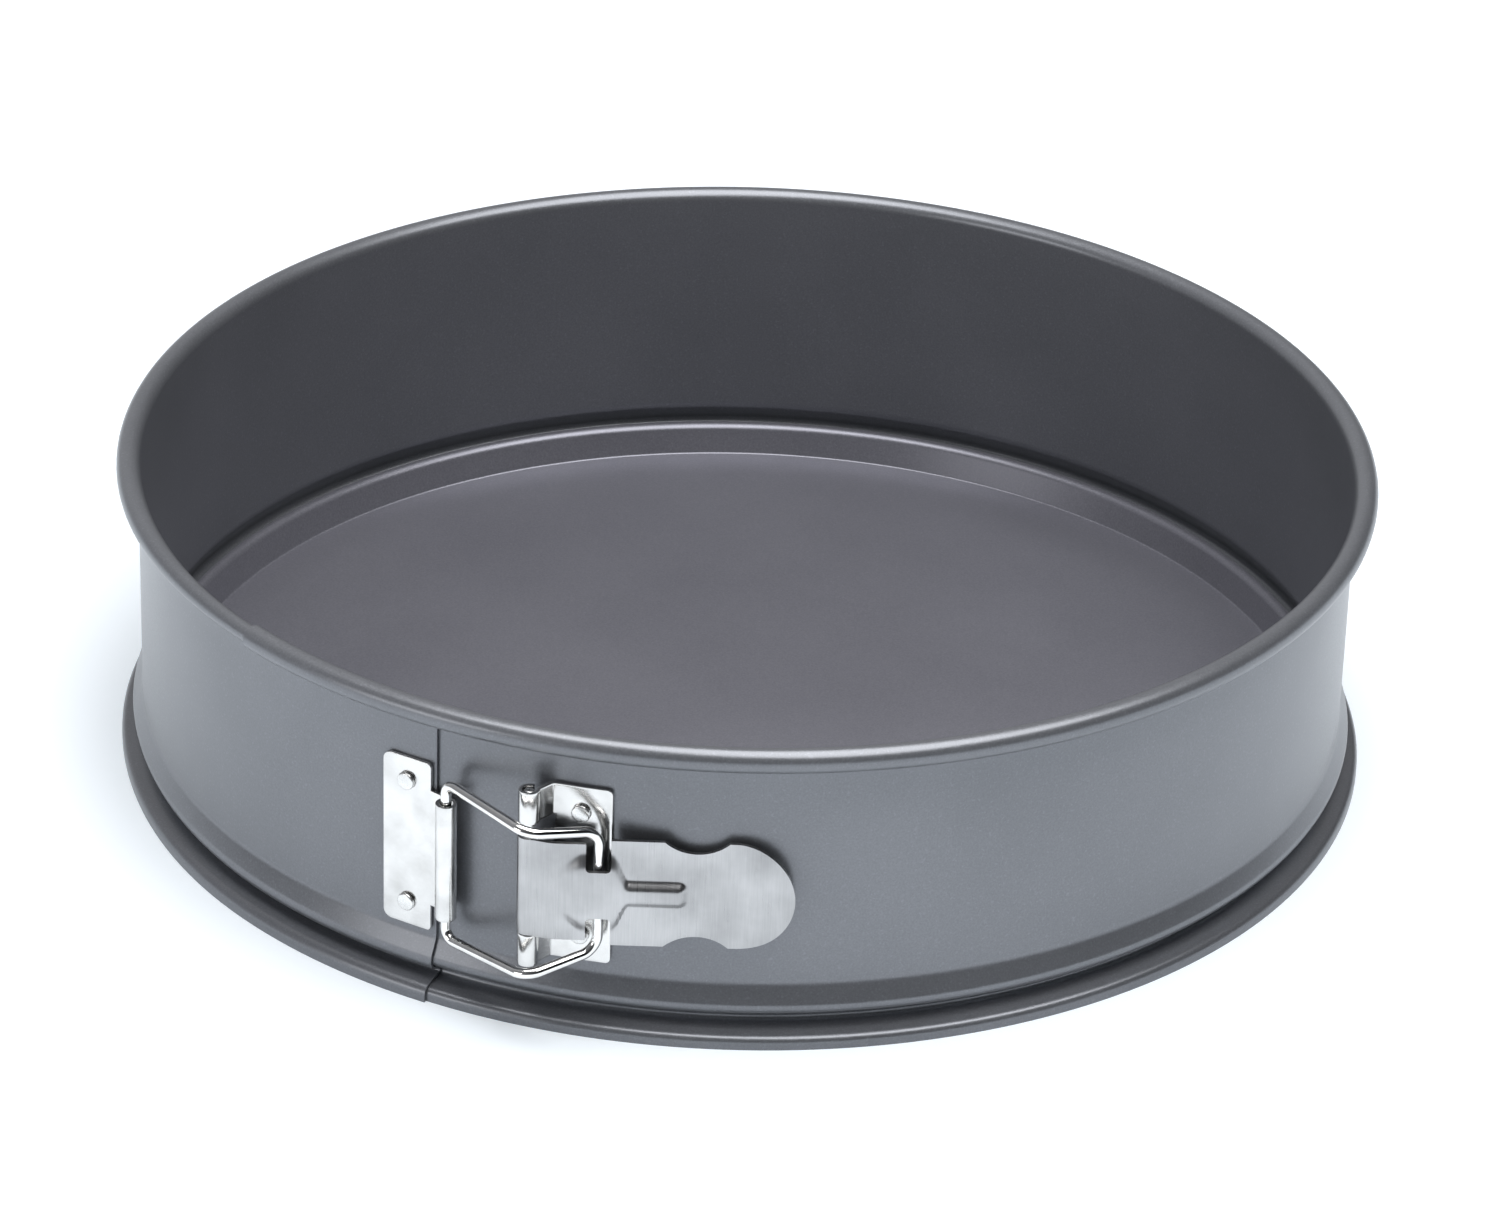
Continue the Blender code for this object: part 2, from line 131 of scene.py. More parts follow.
def startPoint(name, place):          # a plane pulled together to one vertex
    deselectAll()
    bpy.ops.mesh.primitive_plane_add(size=1 * mm, location=place)
    piece = bpy.context.object
    piece.name = name
    applyPlace(piece)
    editOnly(piece)
    bpy.ops.mesh.select_mode(type="VERT")
    selectAll()
    bpy.ops.mesh.merge(type="CENTER")
    selectAll()
    return piece


def extrudeTo(places):                # the selection is pulled from place to place
    for before, after in zip(places, places[1:]):
        bpy.ops.mesh.extrude_region_move(TRANSFORM_OT_translate={"value": after - before})


def faceOutward():
    selectAll()
    bpy.ops.mesh.normals_make_consistent(inside=False)


def spinShut(steps, axis):            # a full turn, with its seam and poles closed
    selectAll()
    bpy.ops.mesh.spin(steps=steps, angle=2 * math.pi, center=(0, 0, 0), axis=axis)
    selectAll()
    bpy.ops.mesh.remove_doubles(threshold=touching)
    faceOutward()


def selectVertices(piece, wanted):    # picks vertices by their place, then goes on in edit mode
    objectMode()
    for polygon in piece.data.polygons:
        polygon.select = False
    for edge in piece.data.edges:
        edge.select = False
    for vertex in piece.data.vertices:
        vertex.select = wanted(vertex.co)
    bpy.ops.object.mode_set(mode="EDIT")
    bpy.ops.mesh.select_mode(type="VERT")


def selectEdges(piece, wanted):       # both ends have to pass
    objectMode()
    points = piece.data.vertices
    for polygon in piece.data.polygons:
        polygon.select = False
    for vertex in points:
        vertex.select = False
    for edge in piece.data.edges:
        edge.select = all(wanted(points[i].co) for i in edge.vertices)
        if edge.select:
            for i in edge.vertices:
                points[i].select = True
    bpy.ops.object.mode_set(mode="EDIT")
    bpy.ops.mesh.select_mode(type="EDGE")


def thicken(piece, thickness):
    pickOnly(piece)
    solid = piece.modifiers.new("thickness", "SOLIDIFY")
    solid.thickness = thickness
    solid.offset = 0
    solid.use_even_offset = True
    applyModifiers(piece)


def roundEdges(piece, width, angle, segments=2):    # only edges sharper than the angle
    bevel = piece.modifiers.new("edges", "BEVEL")
    bevel.width = width
    bevel.segments = segments
    bevel.limit_method = "ANGLE"
    bevel.angle_limit = math.radians(angle)
    applyModifiers(piece)


def finishPiece(piece, material, body, slotName, *nodes, angle=30):
    pickOnly(piece)
    bpy.ops.object.shade_smooth_by_angle(angle=math.radians(angle))
    piece.data.materials.clear()
    piece.data.materials.append(material)
    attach(piece, body)
    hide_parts(*nodes)
    print("made", piece.name, len(piece.data.polygons), "faces")


def arcPoints(centre, radius, start, end, count):    # degrees, in the plane of the outline
    points = []
    for i in range(count):
        angle = math.radians(start + (end - start) * i / (count - 1))
        points.append((centre[0] + radius * math.cos(angle), centre[1] + radius * math.sin(angle)))
    return points


def crossTangent(first, firstRadius, second, secondRadius, firstTurnsLeft):
    # angle on the first arc where a straight run to the second, which bends the other way, starts
    across = Vector(second) - Vector(first)
    base = math.degrees(math.atan2(across.y, across.x))
    lean = math.degrees(math.acos((firstRadius + secondRadius) / across.length))
    return base - lean if firstTurnsLeft else base + lean


def startMaterial(name):
    material = bpy.data.materials.new(name)
    material.use_nodes = True
    tree = material.node_tree
    shader = tree.nodes["Principled BSDF"]
    coordinates = tree.nodes.new("ShaderNodeTexCoord")
    return material, tree, shader, coordinates


def addNoise(tree, coordinates, scale, detail=2.0, stretch=None):
    noise = tree.nodes.new("ShaderNodeTexNoise")
    noise.inputs["Scale"].default_value = scale
    noise.inputs["Detail"].default_value = detail
    source = coordinates.outputs["Object"]
    if stretch:
        mapping = tree.nodes.new("ShaderNodeMapping")
        mapping.inputs["Scale"].default_value = stretch
        tree.links.new(source, mapping.inputs["Vector"])
        source = mapping.outputs["Vector"]
    tree.links.new(source, noise.inputs["Vector"])
    return noise.outputs["Fac"]


def addRamp(tree, factor, stops):     # stops of (position, colour)
    ramp = tree.nodes.new("ShaderNodeValToRGB")
    elements = ramp.color_ramp.elements
    while len(elements) < len(stops):
        elements.new(0.5)
    for element, (position, colour) in zip(elements, stops):
        element.position = position
        element.color = (*colour, 1)
    tree.links.new(factor, ramp.inputs["Fac"])
    return ramp.outputs["Color"]


def addRange(tree, factor, low, high, fromLow=0.3, fromHigh=0.7):
    mapRange = tree.nodes.new("ShaderNodeMapRange")
    mapRange.inputs["From Min"].default_value = fromLow
    mapRange.inputs["From Max"].default_value = fromHigh
    mapRange.inputs["To Min"].default_value = low
    mapRange.inputs["To Max"].default_value = high
    tree.links.new(factor, mapRange.inputs["Value"])
    return mapRange.outputs["Result"]


def addMix(tree, factor, first, second, blend="MIX"):     # the second may be one plain colour
    mix = tree.nodes.new("ShaderNodeMix")
    mix.data_type = "RGBA"
    mix.blend_type = blend
    if isinstance(factor, float):
        mix.inputs["Factor"].default_value = factor
    else:
        tree.links.new(factor, mix.inputs["Factor"])
    tree.links.new(first, mix.inputs["A"])
    if isinstance(second, tuple):
        mix.inputs["B"].default_value = (*second, 1)
    else:
        tree.links.new(second, mix.inputs["B"])
    return mix.outputs["Result"]


def addBump(tree, shader, height, strength, distance):
    bump = tree.nodes.new("ShaderNodeBump")
    bump.inputs["Strength"].default_value = strength
    bump.inputs["Distance"].default_value = distance
    tree.links.new(height, bump.inputs["Height"])
    tree.links.new(bump.outputs["Normal"], shader.inputs["Normal"])


coatingGrain = 0.02 * mm     # depth of the coating's grain
platingGrain = 0.01 * mm


def coatingMaterial(name, settings):     # baked on, with fine metal flake over dark grey
    material, tree, shader, coordinates = startMaterial(name)
    clouds = addNoise(tree, coordinates, settings["cloudScale"], detail=3.0)
    base = addRamp(tree, clouds, [(0.3, settings["dark"]), (0.7, settings["light"])])
    grain = addNoise(tree, coordinates, settings["grainScale"], detail=1.0)
    grainTone = addRamp(tree, grain, [(0.3, settings["grainDark"]), (0.7, settings["grainLight"])])
    toned = addMix(tree, 1.0, base, grainTone, "MULTIPLY")
    fleck = addNoise(tree, coordinates, settings["fleckScale"], detail=0.0)
    fleckAmount = addRange(tree, fleck, 0.0, settings["fleckAmount"], fromLow=0.66, fromHigh=0.78)
    colour = addMix(tree, fleckAmount, toned, settings["fleck"])
    tree.links.new(colour, shader.inputs["Base Color"])
    rough = addRange(tree, grain, settings["roughLow"], settings["roughHigh"])
    tree.links.new(rough, shader.inputs["Roughness"])
    shader.inputs["Metallic"].default_value = settings["metallic"]
    addBump(tree, shader, grain, settings["bump"], coatingGrain)
    return material


def platedMaterial(name, settings):      # nickel plate with cloudy smudges and a stretched grain
    material, tree, shader, coordinates = startMaterial(name)
    smudge = addNoise(tree, coordinates, settings["smudgeScale"], detail=4.0)
    base = addRamp(tree, smudge, [(0.25, settings["dark"]), (0.6, settings["light"])])
    grain = addNoise(tree, coordinates, 1.0, stretch=settings["grainStretch"])
    grainTone = addRamp(tree, grain, [(0.25, settings["grainDark"]), (0.75, (1, 1, 1))])
    colour = addMix(tree, 1.0, base, grainTone, "MULTIPLY")
    tree.links.new(colour, shader.inputs["Base Color"])
    rough = addRange(tree, grain, settings["roughLow"], settings["roughHigh"])
    tree.links.new(rough, shader.inputs["Roughness"])
    shader.inputs["Metallic"].default_value = 1.0
    addBump(tree, shader, grain, settings["bump"], platingGrain)
    return material


bandCoating = coatingMaterial("bandCoating", {
    "dark": (0.180, 0.187, 0.202), "light": (0.206, 0.213, 0.230),
    "grainDark": (0.86, 0.86, 0.87), "grainLight": (1, 1, 1),
    "fleck": (0.42, 0.44, 0.48), "fleckAmount": 0.10,
    "cloudScale": 22, "grainScale": 2600, "fleckScale": 1900,
    "roughLow": 0.28, "roughHigh": 0.36, "metallic": 0.55, "bump": 0.25,
})
baseCoating = coatingMaterial("baseCoating", {
    "dark": (0.200, 0.200, 0.228), "light": (0.232, 0.232, 0.262),
    "grainDark": (0.84, 0.84, 0.86), "grainLight": (1, 1, 1),
    "fleck": (0.40, 0.40, 0.43), "fleckAmount": 0.10,
    "cloudScale": 18, "grainScale": 2400, "fleckScale": 1800,
    "roughLow": 0.30, "roughHigh": 0.38, "metallic": 0.55, "bump": 0.25,
})
plateNickel = platedMaterial("plateNickel", {
    "dark": (0.56, 0.555, 0.545), "light": (0.74, 0.735, 0.725), "grainDark": (0.95, 0.95, 0.95),
    "smudgeScale": 130, "grainStretch": (900, 900, 3000),
    "roughLow": 0.13, "roughHigh": 0.22, "bump": 0.12,
})
leverNickel = platedMaterial("leverNickel", {
    "dark": (0.30, 0.30, 0.305), "light": (0.50, 0.50, 0.505), "grainDark": (0.86, 0.86, 0.86),
    "smudgeScale": 60, "grainStretch": (3200, 250, 110),
    "roughLow": 0.27, "roughHigh": 0.33, "bump": 0.04,
})
wireNickel = platedMaterial("wireNickel", {
    "dark": (0.72, 0.715, 0.70), "light": (0.86, 0.855, 0.84), "grainDark": (0.95, 0.95, 0.95),
    "smudgeScale": 160, "grainStretch": (700, 700, 700),
    "roughLow": 0.08, "roughHigh": 0.14, "bump": 0.05,
})
rivetNickel = platedMaterial("rivetNickel", {
    "dark": (0.68, 0.68, 0.67), "light": (0.80, 0.80, 0.79), "grainDark": (0.93, 0.93, 0.93),
    "smudgeScale": 300, "grainStretch": (2200, 2200, 2200),
    "roughLow": 0.22, "roughHigh": 0.32, "bump": 0.15,
})
print("materials ready")


# band: one strip wound round and a little under its own outer end

bandSettings = {
    "sheet": 0.5 * mm,
    "lapGap": 0.2 * mm,
    "outerEnd": -62 * mm,      # along the outside of the wall, from the front
    "innerEnd": -110 * mm,
    "lapFade": 70 * mm,
    "lipEdge": 0.6 * mm,       # straight edge under the lip
    "skirtReach": 4.65 * mm,
    "lipBend": 1.3 * mm,
    "waistDepth": 1.45 * mm,
    "waistBend": 1.3 * mm,
    "waistHeight": 4.6 * mm,
    "beadReach": 2.15 * mm,
    "beadBend": 1.75 * mm,
    "beadHeight": 8.3 * mm,
    "beadTop": 13.8 * mm,
    "beadFillet": 4.0 * mm,
    "curlRadius": 2.3 * mm,
    "curlEnd": -120,           # degrees round the curl
    "arcRows": (8, 9, 10, 6, 22),    # points along lip, waist, bead, fillet and curl
    "wallRows": 6,
    "degreesPerStep": 1.5,
}
wallOutside = wallRadius + bandSettings["sheet"]
lapOffset = bandSettings["sheet"] + bandSettings["lapGap"]


def bandOutline(sizes):
    middle = wallRadius + sizes["sheet"] / 2
    lip = (middle + sizes["skirtReach"] - sizes["lipBend"], sizes["lipBend"])
    waist = (middle - sizes["waistDepth"] + sizes["waistBend"], sizes["waistHeight"])
    bead = (middle + sizes["beadReach"] - sizes["beadBend"], sizes["beadHeight"])
    fillet = (middle + sizes["beadFillet"], sizes["beadTop"])
    curl = (middle + sizes["curlRadius"], bandHigh.z - sizes["sheet"] / 2 - sizes["curlRadius"])
    lipEnd = crossTangent(lip, sizes["lipBend"], waist, sizes["waistBend"], True)
    waistEnd = crossTangent(waist, sizes["waistBend"], bead, sizes["beadBend"], False)
    beadEnd = crossTangent(bead, sizes["beadBend"], fillet, sizes["beadFillet"], True)
    lipRows, waistRows, beadRows, filletRows, curlRows = sizes["arcRows"]
    points = [(lip[0] + sizes["lipBend"], 0), (lip[0] + sizes["lipBend"], sizes["lipEdge"])]
    points += arcPoints(lip, sizes["lipBend"], 0, lipEnd, lipRows)
    points += arcPoints(waist, sizes["waistBend"], lipEnd + 180, waistEnd % 360, waistRows)
    points += arcPoints(bead, sizes["beadBend"], waistEnd % 360 - 180, beadEnd, beadRows)
    points += arcPoints(fillet, sizes["beadFillet"], beadEnd + 180, 180, filletRows)
    wallSpan = curl[1] - sizes["beadTop"]
    rows = sizes["wallRows"]
    points += [(middle, sizes["beadTop"] + wallSpan * i / rows) for i in range(1, rows)]
    points += arcPoints(curl, sizes["curlRadius"], 180, sizes["curlEnd"], curlRows)
    return points


def spinOn(degrees, stepSize):        # turns the selected edge on round the pan, to the left
    steps = max(1, round(degrees / stepSize))
    bpy.ops.mesh.spin(steps=steps, angle=math.radians(degrees), center=(0, 0, 0), axis=(0, 0, 1))


def makeBand(sizes):
    start = sizes["outerEnd"] / wallOutside
    outward = Vector((math.sin(start), -math.cos(start), 0))
    places = [outward * radius + Vector((0, 0, height)) for radius, height in bandOutline(sizes)]
    piece = startPoint("panBand", places[0])
    extrudeTo(places)
    selectAll()
    lapSpan = math.degrees((sizes["outerEnd"] - sizes["innerEnd"]) / wallOutside)
    fadeSpan = math.degrees(sizes["lapFade"] / wallOutside)
    spinOn(lapSpan, sizes["degreesPerStep"])
    spinOn(fadeSpan, sizes["degreesPerStep"])
    objectMode()
    group = piece.vertex_groups.new(name="outerLayer")
    innerEnd = sizes["innerEnd"] / wallOutside
    for vertex in piece.data.vertices:
        beyond = innerEnd - math.atan2(vertex.co.x, -vertex.co.y)
        group.add([vertex.index], 1 - smooth(beyond / math.radians(fadeSpan)), "REPLACE")
    bpy.ops.object.mode_set(mode="EDIT")
    spinOn(360 - fadeSpan, sizes["degreesPerStep"])
    faceOutward()
    objectMode()
    wall = next(face for face in piece.data.polygons if sizes["beadTop"] < face.center.z < claspHeight)
    if wall.normal.xy.dot(wall.center.xy) < 0:      # the open strip may have come out facing inwards
        editOnly(piece)
        selectAll()
        bpy.ops.mesh.flip_normals()
        objectMode()
    push = piece.modifiers.new("outerLayer", "DISPLACE")
    push.direction = "NORMAL"
    push.mid_level = 0
    push.strength = lapOffset
    push.vertex_group = "outerLayer"
    applyModifiers(piece)
    thicken(piece, sizes["sheet"])
    return piece


band = makeBand(bandSettings)
finishPiece(band, bandCoating, "ring", "band_coating", "band")


# base: a disc with a raised edge

baseSettings = {
    "sheet": 0.6 * mm,
    "ridgeWidth": 2.2 * mm,
    "slopeWidth": 2.7 * mm,
    "footBend": 0.9 * mm,
    "crownBend": 1.7 * mm,
    "floorRings": (0.3, 0.6, 0.9),       # shares of the way to the foot of the edge
    "footRows": 8,
    "crownRows": 12,
    "edge": 0.15 * mm,
    "steps": 240,
}


def makeBase(sizes):
    edge = baseHigh.x
    floor = baseLow.z + sizes["sheet"] / 2
    ridge = baseHigh.z - sizes["sheet"] / 2
    ridgeInside = edge - sizes["ridgeWidth"]
    foot = (ridgeInside - sizes["slopeWidth"], floor + sizes["footBend"])
    crown = (ridgeInside + sizes["crownBend"], ridge - sizes["crownBend"])
    footEnd = crossTangent(foot, sizes["footBend"], crown, sizes["crownBend"], True)
    points = [(0, floor)] + [(foot[0] * part, floor) for part in sizes["floorRings"]]
    points += arcPoints(foot, sizes["footBend"], -90, footEnd, sizes["footRows"])
    points += arcPoints(crown, sizes["crownBend"], footEnd + 180, 90, sizes["crownRows"])
    points += [(edge, ridge)]
    places = [Vector((0, -radius, height)) for radius, height in points]
    piece = startPoint("liftOutBase", places[0])
    extrudeTo(places)
    spinShut(sizes["steps"], (0, 0, 1))
    thicken(piece, sizes["sheet"])
    roundEdges(piece, sizes["edge"], angle=60)
    return piece


base = makeBase(baseSettings)
finishPiece(base, baseCoating, "base", "base_coating", "base_plate")


# clasp plates

sheetSettings = {
    "plate": 0.8 * mm,
    "seatGap": 0.1 * mm,       # between a plate and the wall
    "running": 0.3 * mm,       # round the wire and the pin
    "wire": 2.2 * mm,
    "pin": 2.2 * mm,
    "grid": 0.55 * mm,         # squares fine enough for the sheet to bend softly
    "edge": 0.16 * mm,
    "rollRows": 34,
    "cornerRows": 6,
    "pressSpot": 0.5 * mm,     # what lies within it is pushed by the full depth
    "rivetSpacing": 28.1 * mm,
}
rollRadius = sheetSettings["wire"] / 2 + sheetSettings["running"] + sheetSettings["plate"] / 2


def uprightSheet(name, left, right, bottom, top, away):
    deselectAll()
    middle = ((left + right) / 2, -away, (bottom + top) / 2)
    bpy.ops.mesh.primitive_plane_add(size=1, location=middle, rotation=(math.pi / 2, 0, 0))
    piece = bpy.context.object
    piece.name = name
    piece.scale = (right - left, top - bottom, 1)
    applyPlace(piece)
    return piece


def roundCorner(piece, corner, radius):
    selectVertices(piece, lambda p: (p.xz - Vector(corner)).length < touching)
    bpy.ops.mesh.bevel(offset=radius, segments=sheetSettings["cornerRows"], affect="VERTICES")


def cutAcross(piece, direction, places):
    editOnly(piece)
    for place in places:
        selectAll()
        bpy.ops.mesh.bisect(plane_co=Vector(direction) * place, plane_no=direction)


def spaced(low, high, step):
    count = max(1, round((high - low) / step))
    return [low + (high - low) * i / count for i in range(1, count)]


def spacedThrough(places, step):               # each inner place gets a cut of its own
    cuts = []
    for low, high in zip(places, places[1:]):
        cuts += spaced(low, high, step) + [high]
    return cuts[:-1]


def rivetPlaces(middle):
    return [(0, middle + side * sheetSettings["rivetSpacing"] / 2) for side in (1, -1)]


def pressAt(piece, places, depth, reach):      # pushes the sheet towards the wall, softly
    spot = sheetSettings["pressSpot"]
    for place in places:
        selectVertices(piece, lambda p: (p.xz - Vector(place)).length < spot)
        bpy.ops.transform.translate(
            value=(0, depth, 0), use_proportional_edit=True,
            proportional_edit_falloff="SMOOTH", proportional_size=reach)


def turnRound(piece, angle):                   # round the pan, to the right
    editOnly(piece)
    selectAll()
    bpy.ops.transform.rotate(value=-angle, orient_axis="Z", center_override=(0, 0, 0))
    objectMode()


def finishPlate(piece, arc):                   # gives the surface its thickness and its place
    faceOutward()
    thicken(piece, sheetSettings["plate"])
    roundEdges(piece, sheetSettings["edge"], angle=50)
    turnRound(piece, arc / wallOutside)


catchSettings = {
    "arc": -68.4 * mm,
    "width": 11.4 * mm,
    "height": 38.7 * mm,
    "barrelHeight": 26.6 * mm,
    "barrelBeyond": 5.1 * mm,
    "barrelRise": 0.8 * mm,
    "leftCorner": 1.9 * mm,
    "rightCorner": 1.0 * mm,
    "barrelEnd": 205,              # degrees, where the barrel's free edge stops
    "cornerPress": 0.16 * mm,
    "cornerReach": 9 * mm,
    "rivetPress": 0.06 * mm,
    "rivetReach": 3.2 * mm,
}


def makeCatchPlate(sizes):
    away = wallOutside + lapOffset + sheetSettings["seatGap"] + sheetSettings["plate"] / 2
    right = sizes["width"] / 2
    bottom = claspHeight - sizes["height"] / 2
    top = claspHeight + sizes["height"] / 2
    barrelBottom = claspHeight - sizes["barrelHeight"] / 2
    barrelTop = claspHeight + sizes["barrelHeight"] / 2
    piece = uprightSheet("catchPlate", -right, right, bottom, top, away)
    for height in (bottom, top):
        roundCorner(piece, (-right, height), sizes["leftCorner"])
        roundCorner(piece, (right, height), sizes["rightCorner"])
    step = sheetSettings["grid"]
    cutAcross(piece, (1, 0, 0), spaced(-right, right, step))
    cutAcross(piece, (0, 0, 1), spacedThrough([bottom, barrelBottom, barrelTop, top], step))
    pressAt(piece, [(-right, bottom), (-right, top)], sizes["cornerPress"], sizes["cornerReach"])
    pressAt(piece, rivetPlaces(claspHeight), sizes["rivetPress"], sizes["rivetReach"])
    selectEdges(piece, lambda p: p.x > right - touching
                and barrelBottom - touching < p.z < barrelTop + touching)
    centre = (right + sizes["barrelBeyond"], away + sizes["barrelRise"] + rollRadius)
    path = [(right, away)]
    path += arcPoints(centre, rollRadius, -90, sizes["barrelEnd"], sheetSettings["rollRows"])
    extrudeTo([Vector((across, -out, 0)) for across, out in path])
    finishPlate(piece, sizes["arc"])
    return piece


catchPlate = makeCatchPlate(catchSettings)
finishPiece(catchPlate, plateNickel, "ring", "plate_nickel", "catch_plate")


hingeSettings = {
    "arc": -30.8 * mm,
    "bottom": 15.6 * mm,
    "width": 12.8 * mm,
    "height": 40 * mm,
    "knuckle": 7.2 * mm,
    "pinBeyond": 3.3 * mm,
    "pinStandOff": 4.1 * mm,
    "corner": 1.2 * mm,
    "webInset": 1.0 * mm,          # from the plate's free edge to the foot of the knuckles
    "webBend": ((0.5 * mm, 0.12 * mm), (0.9 * mm, 0.5 * mm)),
    "knuckleStart": -20,           # degrees round the pin
    "knuckleEnd": 285,
    "cornerPress": 0.12 * mm,
    "cornerReach": 6 * mm,
    "rivetPress": 0.07 * mm,
    "rivetReach": 3.4 * mm,
}


def makeHingePlate(sizes):
    away = wallOutside + sheetSettings["seatGap"] + sheetSettings["plate"] / 2
    right = sizes["width"] / 2
    webFoot = -right + sizes["webInset"]
    bottom = sizes["bottom"]
    top = bottom + sizes["height"]
    lower = bottom + sizes["knuckle"]
    upper = top - sizes["knuckle"]
    piece = uprightSheet("hingePlate", webFoot, right, bottom, top, away)
    for height in (bottom, top):
        roundCorner(piece, (right, height), sizes["corner"])
    step = sheetSettings["grid"]
    cutAcross(piece, (1, 0, 0), spaced(webFoot, right, step))
    cutAcross(piece, (0, 0, 1), spacedThrough([bottom, lower, upper, top], step))
    pressAt(piece, [(right, bottom), (right, top)], sizes["cornerPress"], sizes["cornerReach"])
    pressAt(piece, rivetPlaces((bottom + top) / 2), sizes["rivetPress"], sizes["rivetReach"])
    pinPlace = (-right - sizes["pinBeyond"], away + sizes["pinStandOff"])
    path = [(webFoot, away)] + [(webFoot - run, away + rise) for run, rise in sizes["webBend"]]
    path += arcPoints(pinPlace, rollRadius, sizes["knuckleStart"], sizes["knuckleEnd"],
                      sheetSettings["rollRows"])
    for low, high in ((bottom, lower), (upper, top)):
        selectEdges(piece, lambda p: p.x < webFoot + touching
                    and low - touching < p.z < high + touching)
        extrudeTo([Vector((across, -out, 0)) for across, out in path])
    finishPlate(piece, sizes["arc"])
    return piece


hingePlate = makeHingePlate(hingeSettings)
finishPiece(hingePlate, plateNickel, "ring", "plate_nickel", "hinge_plate")


# rivets and pin

rivetSettings = {
    "head": 3.9 * mm,
    "headHeight": 0.9 * mm,
    "rim": 0.4 * mm,
    "crown": 0.12 * mm,
    "shank": 2.4 * mm,
    "shankLength": 1.5 * mm,
    "seatEdge": 0.05 * mm,
    "crownRings": (0.3, 0.6, 0.85),      # shares of the way to the rim
    "rimStart": 84,                      # degrees
    "rimRows": 8,
    "steps": 48,
}


def makeRivet(sizes):            # at the front of the pan, its head just off the hinge plate
    seat = wallOutside + 2 * sheetSettings["seatGap"] + sheetSettings["plate"]
    head = sizes["head"] / 2
    face = seat + sizes["headHeight"]
    rim = (head - sizes["rim"], face - sizes["crown"] - sizes["rim"])
    shank = sizes["shank"] / 2
    tail = seat - sizes["shankLength"]
    outline = [(0, face)]
    outline += [(rim[0] * part, face - sizes["crown"] * part ** 2) for part in sizes["crownRings"]]
    outline += arcPoints(rim, sizes["rim"], sizes["rimStart"], 0, sizes["rimRows"])
    outline += [(head, seat + sizes["seatEdge"]), (head - sizes["seatEdge"], seat)]
    outline += [(shank, seat), (shank, tail), (0, tail)]
    places = [Vector((radius, -out, 0)) for radius, out in outline]
    piece = startPoint("rivet", places[0])
    extrudeTo(places)
    spinShut(sizes["steps"], (0, 1, 0))
    objectMode()
    return piece


def placeRivet(first, name, angle, height, out):
    pickOnly(first)
    bpy.ops.object.duplicate()
    copy = bpy.context.object
    copy.name = name
    editOnly(copy)
    selectAll()
    bpy.ops.transform.translate(value=(0, -out, height))
    turnRound(copy, angle)
    return copy


firstRivet = makeRivet(rivetSettings)
hingeMiddle = hingeSettings["bottom"] + hingeSettings["height"] / 2
for sideName, side in (("Upper", 1), ("Lower", -1)):
    shift = side * sheetSettings["rivetSpacing"] / 2
    catchRivet = placeRivet(firstRivet, "catchRivet" + sideName,
                            catchSettings["arc"] / wallOutside, claspHeight + shift, lapOffset)
    finishPiece(catchRivet, rivetNickel, "ring", "rivet_nickel", "catch_rivet_" + sideName.lower())
    hingeRivet = placeRivet(firstRivet, "hingeRivet" + sideName,
                            hingeSettings["arc"] / wallOutside, hingeMiddle + shift, 0)
    finishPiece(hingeRivet, rivetNickel, "ring", "rivet_nickel", "hinge_rivet_" + sideName.lower())
bpy.data.objects.remove(firstRivet, do_unlink=True)

pinSettings = {
    "length": 39.6 * mm,
    "endBend": 0.35 * mm,
    "sides": 48,
}


def makePin(sizes):
    deselectAll()
    bpy.ops.mesh.primitive_cylinder_add(
        vertices=sizes["sides"], radius=sheetSettings["pin"] / 2, depth=sizes["length"],
        location=(pinAxis.x, pinAxis.y, hingeMiddle))
    piece = bpy.context.object
    piece.name = "hingePin"
    applyPlace(piece)
    roundEdges(piece, sizes["endBend"], angle=60, segments=4)
    return piece


hingePin = makePin(pinSettings)
finishPiece(hingePin, rivetNickel, "ring", "pin_nickel", "hinge_pin")


# lever

leverSettings = {
    "sheet": 0.9 * mm,
    "hingeHeight": 22.1 * mm,
    "standOff": 1.55 * mm,       # middle of the sheet outside the wall
    "seatReach": 14 * mm,
    "notchWidth": 5 * mm,
    "notchCorner": 0.9 * mm,
    "notchRows": 6,
    "notchCut": 12 * mm,         # depth of the cut through the sheet
    "neckHeight": 10.6 * mm,
    "handleHeight": 24 * mm,
    "shoulder": 10.6 * mm,
    "scallopWidth": 12.9 * mm,
    "scallopDepth": 2.5 * mm,
    "tipShoulder": 1.2 * mm,     # from the scallop to the middle of the tip's arc
    "tipLift": 1.4 * mm,
    "bulgeSpare": 0.2 * mm,      # how far the neck stands off more than half the wire
    "bulgeRun": 7 * mm,          # length over which the sheet rises before the neck
    "neckMargin": 0.2 * mm,      # raised sheet beyond the neck
    "neckStart": 0.35,           # share of the neck's height where the sheet begins to rise
    "neckSide": 4.0 * mm,
    "ribHalf": 1.0 * mm,
    "ribSide": 2.1 * mm,
    "ribRun": 3.4 * mm,          # from the neck's width down to the rib's
    "ribLength": 19 * mm,
    "rollStart": 20,             # degrees round the pin
    "rollEnd": 256,
    "rollSteps": 28,
    "leadIn": 6 * mm,            # from the roll to the plane of the sheet
    "columnStep": 0.5 * mm,
    "scallopStep": 0.4 * mm,
    "tipSteps": 28,
    "tipFlat": 0.004 * mm,       # left off the tip, so its last column isn't a point
    "rows": 56,
    "edge": 0.14 * mm,
}
leverRoll = sheetSettings["pin"] / 2 + sheetSettings["running"] + leverSettings["sheet"] / 2
leverPlane = -(wallOutside + leverSettings["standOff"])
